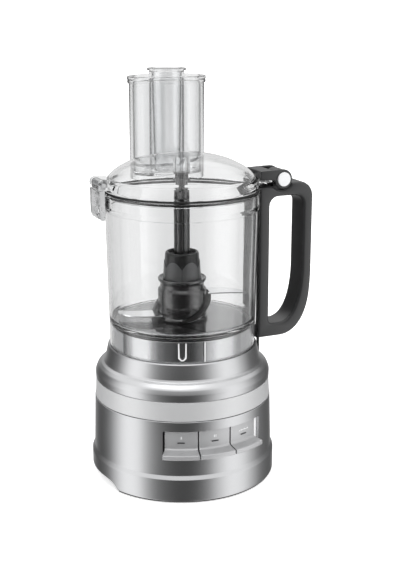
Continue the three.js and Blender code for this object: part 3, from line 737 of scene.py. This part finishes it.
def make_buttons():
    bodies = ("button_left", "button_middle", "button_right")
    glyphs = ([(0, 0.28, 2.6)], [(-0.5, 0.25, 2.6), (0.6, 0.25, 2.6)],
              [(-3.4, 0.5, 0.9), (-2.0, 0.5, 1.5), (-0.6, 0.5, 0.9), (0.8, 0.5, 1.5), (2.2, 0.5, 0.9),
               (3.6, 0.5, 1.5)])
    for i, body in enumerate(bodies):
        middle = (i - 1) * BUTTON_PITCH + BUTTON_TURN
        half = BUTTON_PITCH / 2 - BUTTON_GAP
        key = sector_solid(button_profile(), middle - half, middle + half, 12)
        build(f"push_button_{i + 1}", key, body, BUTTON, [f"button_{i + 1}"], 40, 0.35)
        low = span(f"button_mark_{i + 1}")[0].z
        near, far = BUTTON_FACE + 0.3, BUTTON_FACE + 0.6
        mark = sector_solid([(near, low), (far, low), (far, low + 1.1), (near, low + 1.1)],
                            middle - 2.3, middle + 2.3, 6)
        build(f"button_dash_{i + 1}", mark, body, MARK, [f"button_mark_{i + 1}"])
        sign = merged(*(tick(middle + at, 66.4, wide, tall) for at, wide, tall in glyphs[i]))
        build(f"button_glyph_{i + 1}", sign, body, GLYPH, ())


# ------------------------------------------------------------------ bowl
def bowl_solid():
    """Bowl wall, floor, hub tube and skirt, with the handle's pad and the catch's pad."""
    lip = span("bowl")[1].z
    wall = rounded([
        (75, 139.9, 0.5), (75.2, 166), (77.4, 279.9), (78.35, 280.5, 0.2), (78.6, 284.5, 1.5),
        (78.6, lip, 0.7), (76.2, lip, 0.5), (76.2, 285.5, 1.5), (75.4, 281.5, 1), (75.2, 276),
        (72.9, 170, 3), (70.6, 165.6, 3), (12.5, 165.3, 1.5), (12.5, 205, 0.8), (10.2, 205, 0.8),
        (10.2, 162.3), (69.8, 162.3), (69.8, 164.6, 0.3),
        (72.7, 164.6, 0.3), (72.7, 139.9, 0.5),
    ], 5)
    shell = lathe(wall, segments=ROUND)
    pad = block(75.9, 80.1, -10.5, 10.5, 150, 294, 1.2)
    catch = block(-79.6, -76.9, -10, 10, 284, 296, 0.8)
    return combined(shell, "UNION", pad, catch)


def skirt_lug(angle):
    """U-shaped rib on the skirt, one of the lugs that lock the bowl on the base."""
    u = rounded([(-4.2, 160.5), (-4.2, 145, 2.4), (-1.2, 142.4, 1.2), (1.2, 142.4, 1.2), (4.2, 145, 2.4),
                 (4.2, 160.5), (3.0, 160.5), (2.6, 146, 1.6), (0.8, 143.8, 1), (-0.8, 143.8, 1),
                 (-2.6, 146, 1.6), (-3.0, 160.5)], 3)
    bm = plate(u, -76.0, -75.25, 0.25, steps=1)
    bm.transform(Matrix.Rotation(math.radians(angle), 4, "Z"))
    return bm


def skirt_rib(angle):
    """Upright rib on the skirt."""
    bm = block(-0.5, 0.5, -75.9, -75.25, 140.6, 161, 0.2, 2)
    bm.transform(Matrix.Rotation(math.radians(angle), 4, "Z"))
    return bm


def make_bowl():
    build("clear_bowl", bowl_solid(), "bowl_assembly", CLEAR, ["bowl"], 38)
    # the lugs are pale and opaque: painted glint for the light that the clear lugs catch
    lugs = merged(*(skirt_lug(angle) for angle in (-22, 98, 218)), skirt_rib(-5))
    build("bowl_lugs", lugs, "bowl_assembly", LUG_GLINT, (), 38)
    seal = rounded([(70.0, 162.35), (72.5, 162.35, 0.3), (72.5, 164.4, 0.3), (70.0, 164.4, 0.3)], 3)
    build("floor_seal", lathe(seal, segments=ROUND), "bowl_assembly", RUBBER, ())
    nose = block(-84.2, -81.2, -9, 9, 289, 293, 0.5)
    catch = combined(block(-81.4, -79.9, -9, 9, 286, 296.6, 0.3), "UNION", nose)
    build("latch_catch", catch, "bowl_assembly", BLACK, ["bowl_catch"])


# ------------------------------------------------------------------ handle and lid arm
HINGE_X = (span("hinge_pin")[0].x + span("hinge_pin")[1].x) / 2
HINGE_Z = (span("hinge_pin")[0].z + span("hinge_pin")[1].z) / 2
HINGE_BORE = 3.9
STRIP_IN, STRIP_OUT, GRIP_OUT, GRIP_IN = 80.4, 93.0, span("handle")[1].x, 131.2
HANDLE_LOW, GAP_LOW, ARM_TOP, HANDLE_HALF = span("handle")[0].z, 150.4, 300.2, 14.0
ROD_X = (span("interlock_rod")[0].x + span("interlock_rod")[1].x) / 2


def handle_solid():
    """Loop handle with the hinge knuckle, bored for the hinge pin and the interlock rod."""
    cradle = 12.0
    dip = math.degrees(math.asin((HINGE_Z - ARM_TOP) / cradle))
    left = math.degrees(math.acos(7.6 / cradle))
    corner = 16.0
    outline = [(STRIP_IN, HANDLE_LOW), (107, HANDLE_LOW + 0.2)]
    outline += bezier((107, HANDLE_LOW + 0.2), (128, HANDLE_LOW + 0.4), (GRIP_OUT - 3.4, 158),
                      (GRIP_OUT - 1.2, 182))
    outline += bezier((GRIP_OUT - 1.2, 182), (GRIP_OUT - 0.4, 190), (GRIP_OUT, 198), (GRIP_OUT, 206), 4)
    outline += arc(GRIP_OUT - corner, ARM_TOP - corner, corner, 0, 90, 12)
    outline += arc(HINGE_X, HINGE_Z, cradle, -dip, -90 - left, 14)
    outline += [(STRIP_IN, HINGE_Z - 7.6)]
    gap = [(STRIP_OUT + 0.4, GAP_LOW + 3.6), (STRIP_OUT, ARM_TOP - 24)]
    gap += arc(STRIP_OUT + 10, ARM_TOP - 24, 10, 180, 90, 8)[1:]
    gap += arc(GRIP_IN - 10, ARM_TOP - 24, 10, 90, 0, 8)
    gap += [(GRIP_IN, 206)]
    gap += bezier((GRIP_IN, 206), (GRIP_IN - 1, 172), (GRIP_IN - 10, GAP_LOW + 1.2), (106, GAP_LOW))
    gap += [(STRIP_OUT + 4, GAP_LOW - 0.1), (STRIP_OUT + 1.4, GAP_LOW + 1)]
    body = plate(outline, -HANDLE_HALF, HANDLE_HALF, 3.0, [gap], 4)
    knuckle = rounded([(0, -7.5), (9.5, -7.5, 0.6), (9.5, 7.5, 0.6), (0, 7.5)], 2, False)
    web = block(HINGE_X - 7, HINGE_X + 7, -7.5, 7.5, 288, HINGE_Z, 0)
    body = combined(body, "UNION", web, cross_rod(knuckle, HINGE_X, HINGE_Z))
    pin = pin_bore(HINGE_BORE, HINGE_X, HINGE_Z, 40)
    channel = lathe([(0, 130), (2.6, 130), (2.6, 310), (0, 310)], (ROD_X, 0), 32)
    pocket = lathe([(0, 130), (4.4, 130), (4.4, 166), (0, 166)], (ROD_X, 0), 32)
    return combined(body, "DIFFERENCE", pin, channel, pocket)


def lid_arm_solid():
    """Yoke that carries the lid on the hinge pin."""
    x, z = HINGE_X, HINGE_Z
    side = [(79.6, z + 0.9), (80.4, z + 9.4), (x - 6, z + 10)] + arc(x, z, 10, 90, -174, 26)
    front = plate(side, -17, -13, 0.9)
    rear = plate(side, 13, 17, 0.9)
    roof = rounded([(80.2, z + 0.9), (80.4, z + 9.3, 2.0), (x - 11.2, z + 9.6, 1.2), (x - 10.9, z + 0.9)], 4)
    roof = plate(roof, -16.2, 16.2, 0.6)
    arm = combined(front, "UNION", roof, rear)
    pin = pin_bore(HINGE_BORE, x, z, 40)
    return combined(arm, "DIFFERENCE", pin)


def make_handle():
    build("loop_handle", handle_solid(), "bowl_assembly", DARK, ["handle"], 30)
    build("lid_yoke", lid_arm_solid(), "lid_assembly", DARK, ["lid_arm"], 30)
    for side, sign in (("front", -1), ("rear", 1)):
        lo, hi = span(f"pin_cap_{side}")
        near, far = (hi.y, lo.y) if sign < 0 else (lo.y, hi.y)
        cap = cross_rod(rounded([(0, near), (7.3, near), (7.3, far, 0.7), (0, far + sign * 0.001)], 4, False),
                        HINGE_X, HINGE_Z)
        build(f"hinge_cap_{side}", cap, "lid_assembly", CAP, [f"pin_cap_{side}"], 40)


# ------------------------------------------------------------------ blade tool
def blade_solid(low, turn):
    """Sickle blade: one edge nearly straight, the other bowed, on the hub at the inner end."""
    near = [(26.8, -2.5)] + bezier((26.8, -2.5), (40, 1), (54, 2), (66.4, -0.5), 20)
    bowed = [(66.2, 3)] + bezier((66.2, 3), (62, 17), (44, 27), (19.6, 18.4), 24)
    root = bezier((19.6, 18.4), (24.6, 12), (27, 5), (26.8, -2.5), 6)[:-1]
    outline = near + bowed + root
    bm = loft([(outline, low), (outline, low + 1.2)])
    bm.transform(Matrix.Rotation(math.radians(turn), 4, "Z"))
    return bm


def hub_fin(start, end, low, rise):
    """Rib that winds up the hub wall to the root of the upper blade."""
    sections = []
    steps = 40
    for i in range(steps + 1):
        z = low + rise * (i / steps) ** 1.5
        out = 25.2 + 4.6 * min(1.0, 6 * i / steps, 8 * (1 - i / steps)) ** 0.5
        section = [(24.2, z - 0.9), (out - 0.5, z - 0.9), (out, z), (out - 0.7, z + 1.0), (24.2, z + 1.5)]
        sections.append((section, start + (end - start) * i / steps))
    return swept(sections)


def blade_boss(start, end):
    """Moulded swelling at the foot of the hub that holds the root of the lower blade."""
    sections = []
    steps = 24
    for i in range(steps + 1):
        swell = 0.4 + 7.4 * math.sin(math.pi * i / steps) ** 0.8
        section = [(24.2, 166.6), (25 + swell * 0.9, 166.8), (25 + swell, 168.2), (25 + swell * 0.9, 171.5),
                   (25 + swell * 0.6, 178), (24.6, 186), (24.2, 186)]
        sections.append((section, start + (end - start) * i / steps))
    return swept(sections)


def cone_radius(z):
    """Radius of the hub's cone at this height."""
    return 19 - 1.6 * (z - 207.1) / 26


def petal_plate(middle):
    """Raised panel on the cone, with a rounded top."""
    sections = []
    steps, half, foot = 16, 29.3, 207.5
    for i in range(steps + 1):
        u = 2 * i / steps - 1
        top = 219.0 + 7.5 * (1 - abs(u) ** 2.2)
        heights = [foot + (top - foot) * k / 5 for k in range(6)]
        section = [(cone_radius(z) + 0.55, z) for z in heights]
        section += [(cone_radius(z) - 0.3, z) for z in heights[::-1]]
        sections.append((section, middle + half * u))
    return swept(sections)


def make_tool():
    hub = lathe(rounded([
        (26.4, 166.4, 0.5), (26.4, 168, 0.8), (24.8, 169.4, 1), (25, 195.6, 0.9), (24.4, 197.0, 0.7),
        (22.7, 198.8, 1.0), (22.4, 202.6, 1.0), (24.4, 205.4, 1), (25, 207.6, 0.9), (24, 208.6, 0.6),
        (22.6, 207.4, 0.8), (19.2, 206.8), (13.4, 206.8), (13.4, 166.4),
    ], 4), segments=128)
    hub = merged(hub, blade_boss(-152, -98))
    build("hub_body", hub, "blade_tool", HUB, ["blade_hub"], 40)
    build("hub_rib", hub_fin(-24, 84, 167.4, 26), "blade_tool", RUBBER, (), 30)
    cap = lathe([(8.6, 226.5), (8.6, 230), (13.6, 232), (14.2, 234.9), (15.2, 235.4), (16.4, 235.0),
                 (17.1, 233.8), (17.3, 233), (cone_radius(220), 220), (19, 207.3), (14.6, 207.1),
                 (14.6, 212), (12.6, 212), (12.6, 226.5)], segments=96)
    build("hub_cone", cap, "blade_tool", CONE, ["hub_cap"], 34)
    panels = merged(*(petal_plate(8 + 60 * k) for k in range(6)))
    build("cone_panels", panels, "blade_tool", PETAL, (), 34)
    build("cut_blade_low", blade_solid(171, 158), "blade_tool", BLADE, ["blade_lower"])
    build("cut_blade_high", blade_solid(190, -22), "blade_tool", BLADE, ["blade_upper"])

    def fluted(angle, r, z):
        """Six narrow flutes down the stem."""
        if r < 6:
            return r, z
        turn = (math.degrees(angle) + 9.4) / 60 % 1.0
        return r - 1.3 * max(0.0, 1 - min(turn, 1 - turn) * 8), z

    stem = [(0, 229.4), (8.1, 229.4), (8.1, 282.4), (7.8, 283.6), (7.2, 284.2), (0, 284.2)]
    stem = lathe(stem, segments=180, wall=fluted)
    build("drive_stem", stem, "blade_tool", STEM, ["stem"], 40)
    spool = lathe(rounded([
        (0, 284.5), (7, 284.5), (8.2, 286, 0.4), (8.2, 288.4, 0.4), (6.2, 289.4, 0.4), (6.2, 291.6, 0.3),
        (6.8, 292, 0.3), (6.8, 293, 0.3), (6.2, 293.4, 0.3), (6.2, 294.8, 0.3), (6.8, 295.2, 0.3),
        (6.8, 296.2, 0.3), (6.2, 296.6, 0.3), (6.2, 297.8, 0.3), (8.2, 298.6, 0.4), (8.2, 300.3, 0.4),
        (3, 300.6), (3, 309.6), (0, 309.6),
    ], 3, False), segments=96)
    build("ribbed_spool", spool, "blade_tool", HUB, ["stem_spool"], 40)


# ------------------------------------------------------------------ lid
TUBE_Y, TUBE_A, TUBE_B, TUBE_NOTCH, TUBE_WALL = 39.5, 39.5, 31.0, 14.0, 2.3
TUBE_LOW, TUBE_TOP = 307.0, 404.8
DOME = [(78.4, 303.4), (77.2, 307), (74.8, 311.4), (70.8, 316), (65.4, 320.2), (58.5, 324.1), (50.5, 327.8),
        (41, 330.9), (30, 333.3), (17.5, 335), (0, 335.6)]
BEAN_POINTS = 160
LATCH_X, LATCH_Z, LATCH_BORE = -86.5, 310.5, 2.1


def bean(inset):
    """Plan of the feed tube drawn in by inset: an oval with a notch round the drive axis."""
    a, b, notch = TUBE_A - inset, TUBE_B - inset, TUBE_NOTCH + inset
    oval = []
    for i in range(240):
        t = math.radians(-90 + 1.5 * (i + 0.5))
        oval.append((a * math.cos(t), TUBE_Y + b * math.sin(t)))
    kept = [p for p in oval if math.hypot(*p) > notch + 0.4]
    start = math.atan2(kept[-1][1], kept[-1][0]) - 0.06
    end = math.atan2(kept[0][1], kept[0][0]) + 0.06
    turns = [start + (end - start) * k / 24 for k in range(25)]
    kept += [(notch * math.cos(turn), notch * math.sin(turn)) for turn in turns]
    return softened(resampled(kept, BEAN_POINTS), 14)


def curve_through(points, steps=6):
    """Smooth line through the points (Catmull-Rom)."""
    out = []
    for i in range(len(points) - 1):
        p0, p1, p2 = points[max(i - 1, 0)], points[i], points[i + 1]
        p3 = points[min(i + 2, len(points) - 1)]
        for k in range(steps):
            t = k / steps
            out.append(tuple(0.5 * (2 * b + (c - a) * t + (2 * a - 5 * b + 4 * c - d) * t * t
                                    + (3 * b - a - 3 * c + d) * t ** 3)
                             for a, b, c, d in zip(p0, p1, p2, p3)))
    return out + [points[-1]]


def inside(curve, wall):
    """The curve moved inwards by the wall thickness, everywhere square to it."""
    points = [Vector(p) for p in curve]
    out = []
    for i, p in enumerate(points):
        along = (points[min(i + 1, len(points) - 1)] - points[max(i - 1, 0)]).normalized()
        out.append((max(p.x - wall * along.y, 0), p.y + wall * along.x))
    return out


def lid_solid():
    """Domed lid with its spigot, feed tube, bearing boss, hinge tongue and latch ears."""
    r, low = 78.6, 300.6
    wall = 2.4
    outer = curve_through(DOME, 4)
    spigot = 74.4
    inner = [(rr, z) for rr, z in reversed(inside(outer, wall)) if rr < spigot - 2.1]
    profile = [(r, low + 0.5), (r, 302.6)] + outer + inner
    profile += [(spigot - 2, 309), (spigot - 2, 294), (spigot - 1.4, 293.5), (spigot - 0.4, 293.5),
                (spigot, 294), (spigot, low), (r - 0.5, low)]
    body = lathe(profile, segments=ROUND)
    tube = loft([(bean(0), TUBE_LOW), (bean(0), TUBE_TOP - 3.4), (bean(-1.0), TUBE_TOP - 3.0),
                 (bean(-1.5), TUBE_TOP - 2.4), (bean(-1.5), TUBE_TOP - 0.6), (bean(-1.1), TUBE_TOP)])
    boss = lathe([(0, 317), (8.6, 317), (8.6, 333), (0, 333)], segments=64)
    tongue = block(74.4, 95.2, -12.6, 12.6, 301.2, 305.2, 0.8)
    ear = [(-74.6, 305), (-74.6, 314.5), (LATCH_X, 316)] + arc(LATCH_X, LATCH_Z, 5.5, 90, 270, 16)
    ears = [plate(ear, y0, y1, 0.6) for y0, y1 in ((-14.6, -10.6), (10.6, 14.6))]
    body = combined(body, "UNION", tube, boss, tongue, *ears)
    hollow = loft([(bean(TUBE_WALL), 290), (bean(TUBE_WALL), TUBE_TOP - 0.6),
                   (bean(TUBE_WALL - 0.4), TUBE_TOP + 1)])
    bore = lathe([(0, 310), (5.2, 310), (5.2, 331), (0, 331)], segments=48)
    pin = pin_bore(LATCH_BORE, LATCH_X, LATCH_Z, 24)
    return combined(body, "DIFFERENCE", hollow, bore, pin)


def make_lid():
    build("clear_lid", lid_solid(), "lid_assembly", LID_CLEAR, ["lid"], 34)
    flat = rounded([(74.7, 298.5), (78.4, 298.5, 0.4), (78.6, 299.4, 0.3), (78.4, 300.5, 0.3),
                    (74.7, 300.5)], 3)
    bead = rounded([(74.6, 295.1, 0.3), (76.0, 295.1, 0.4), (76.0, 297.6, 0.4), (74.6, 297.6, 0.3)], 3)
    seal = merged(lathe(flat, segments=ROUND), lathe(bead, segments=ROUND))
    build("lid_gasket", seal, "lid_assembly", RUBBER, ["lid_seal"], 40)
    bearing = rounded([(3.9, 304.6), (6.2, 304.6, 0.4), (6.2, 308.2, 0.3), (8.4, 308.8, 0.4),
                       (8.4, 310.4, 0.4), (6.6, 311, 0.3), (6.6, 314.4, 0.3), (8.3, 315, 0.4),
                       (8.3, 316.7, 0.4), (3.9, 316.7)], 3)
    bearing = lathe(bearing, segments=96)
    build("stem_bearing", bearing, "lid_assembly", HUB, ["lid_bearing"], 40)


# ------------------------------------------------------------------ lid latch
def make_latch():
    lo, hi = span("latch_lever")
    side = rounded([(lo.x, 305, 1), (lo.x, lo.z + 4.5, 1.5), (lo.x + 2.2, lo.z, 1), (-86.3, lo.z, 0.8),
                    (-85.5, lo.z + 2, 0.8), (-85.5, 305, 0.6)], 4)
    lever = plate(side, lo.y, hi.y, 0.9)
    neck = block(lo.x + 0.6, -85.5, -10.2, 10.2, 303, LATCH_Z, 0.5)
    knuckle = rounded([(0, -10.2), (4.8, -10.2, 0.5), (4.8, 10.2, 0.5), (0, 10.2)], 3, False)
    knuckle = cross_rod(knuckle, LATCH_X, LATCH_Z)
    hook = block(-86.2, -84.7, -8, 8, 283, 288, 0.5)
    lever = combined(lever, "UNION", neck, knuckle, hook)
    slot = block(lo.x - 1, lo.x + 2.2, -8.5, 8.5, 288, 300, 0.8)
    pin = pin_bore(LATCH_BORE, LATCH_X, LATCH_Z, 24)
    lever = combined(lever, "DIFFERENCE", slot, pin)
    build("lid_latch", lever, "latch", LATCH_CLEAR, ["latch_lever"], 34)


# ------------------------------------------------------------------ pushers
def make_pushers():
    slide, wall = TUBE_WALL + 0.8, 2.0
    low, flange = 311.0, TUBE_TOP + 0.3
    shell = loft([
        (bean(slide + 1), low), (bean(slide), low + 1), (bean(slide), flange), (bean(-1.2), flange),
        (bean(-1.7), flange + 0.5), (bean(-1.7), flange + 2.9), (bean(-1.2), flange + 3.4),
        (bean(slide + wall - 0.4), flange + 3.4), (bean(slide + wall), flange + 3),
        (bean(slide + wall), low + 3.2), (bean(slide + wall + 1), low + 2.5),
    ])
    bore = lathe([(0, low + 0.01), (18, low + 0.01), (18, 413), (17.6, 413.4), (0, 413.4)], (0, TUBE_Y), 96)
    cavity = lathe([(0, 300), (16.3, 300), (16.3, 430), (0, 430)], (0, TUBE_Y), 96)
    body = combined(shell, "UNION", bore)
    body = combined(body, "DIFFERENCE", cavity)
    build("big_pusher_shell", body, "big_pusher", TUBE_CLEAR, ["large_pusher"], 34)
    top = span("small_pusher")[1].z
    small = lathe(rounded([
        (0, 313), (13, 313, 1), (15.4, 411), (15.7, 413.6, 0.5), (19.8, 414.2, 0.5), (19.8, 416.2, 0.5),
        (14.6, top, 0.8), (13.8, 411), (11.3, 315, 1), (0, 315),
    ], 4, False), (0, TUBE_Y), 96)
    build("small_pusher_cup", small, "inner_pusher", TUBE_CLEAR, ["small_pusher"], 34)


# ------------------------------------------------------------------ scene
make_camera()
make_studio()
finish_kept_nodes()
make_base()
make_buttons()
make_bowl()
make_handle()
make_tool()
make_lid()
make_latch()
make_pushers()
